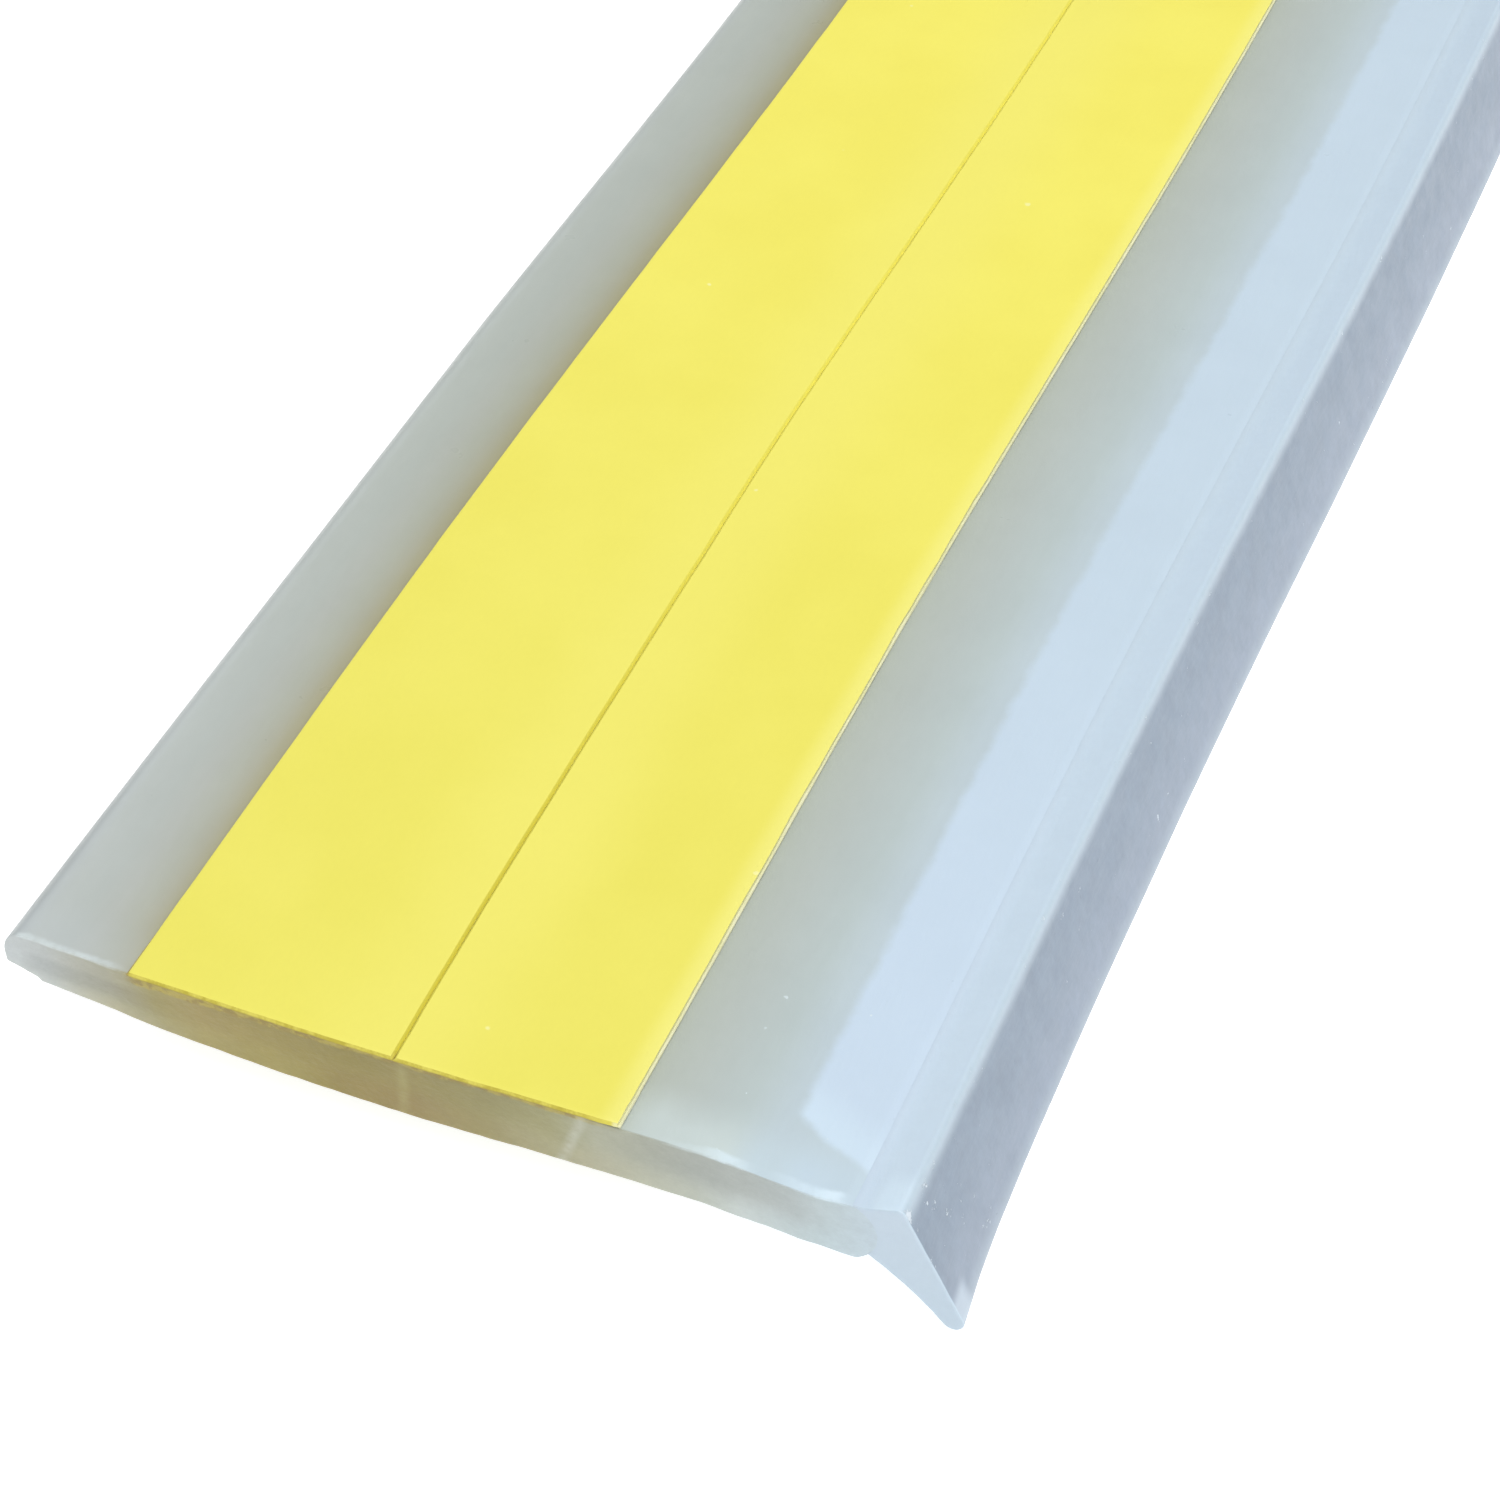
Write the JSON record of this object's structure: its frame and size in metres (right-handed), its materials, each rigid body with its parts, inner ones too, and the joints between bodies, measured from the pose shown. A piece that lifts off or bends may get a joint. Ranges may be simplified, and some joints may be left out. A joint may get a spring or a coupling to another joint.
{
  "type": "self-adhesive door sweep",
  "caption": "Straight translucent door sweep strip with a taped web under a split release liner and a soft wedge lip along one edge that wipes the floor.",
  "frame": {"origin": "centre of the bounding box, on the level of the lip's lowest point", "axes": "+Y along the strip, +X from the plain edge towards the lip, +Z out of the adhesive side"},
  "size_m": [0.0408, 1.001, 0.0063],
  "materials": {
    "web": "milky translucent, satin",
    "lip": "soft translucent bluish grey, matt",
    "adhesive": "clear tacky layer",
    "film": "clear thin film",
    "liner": "smooth coated yellow paper"
  },
  "bodies": {
    "strip": {"carrier_web": "web", "web_side_adhesive": "adhesive", "tape_carrier_film": "film", "door_side_adhesive": "adhesive"},
    "lip": {"sweep_lip": "lip"},
    "liner_left": {"release_liner_left": "liner"},
    "liner_right": {"release_liner_right": "liner"}
  },
  "joints": [
    {"name": "lip_flex", "type": "hinge", "parent": "strip", "child": "lip", "pos_m": [0.01513, 0, 0.00421], "axis": [0, -1, 0], "range_deg": [-30, 45], "stiffness_Nm_per_rad": 0.5},
    {"name": "liner_left_peel", "type": "slide", "parent": "strip", "child": "liner_left", "axis": [0, 0, 1], "range_m": [0, 0.03]},
    {"name": "liner_right_peel", "type": "slide", "parent": "strip", "child": "liner_right", "axis": [0, 0, 1], "range_m": [0, 0.03]}
  ]
}
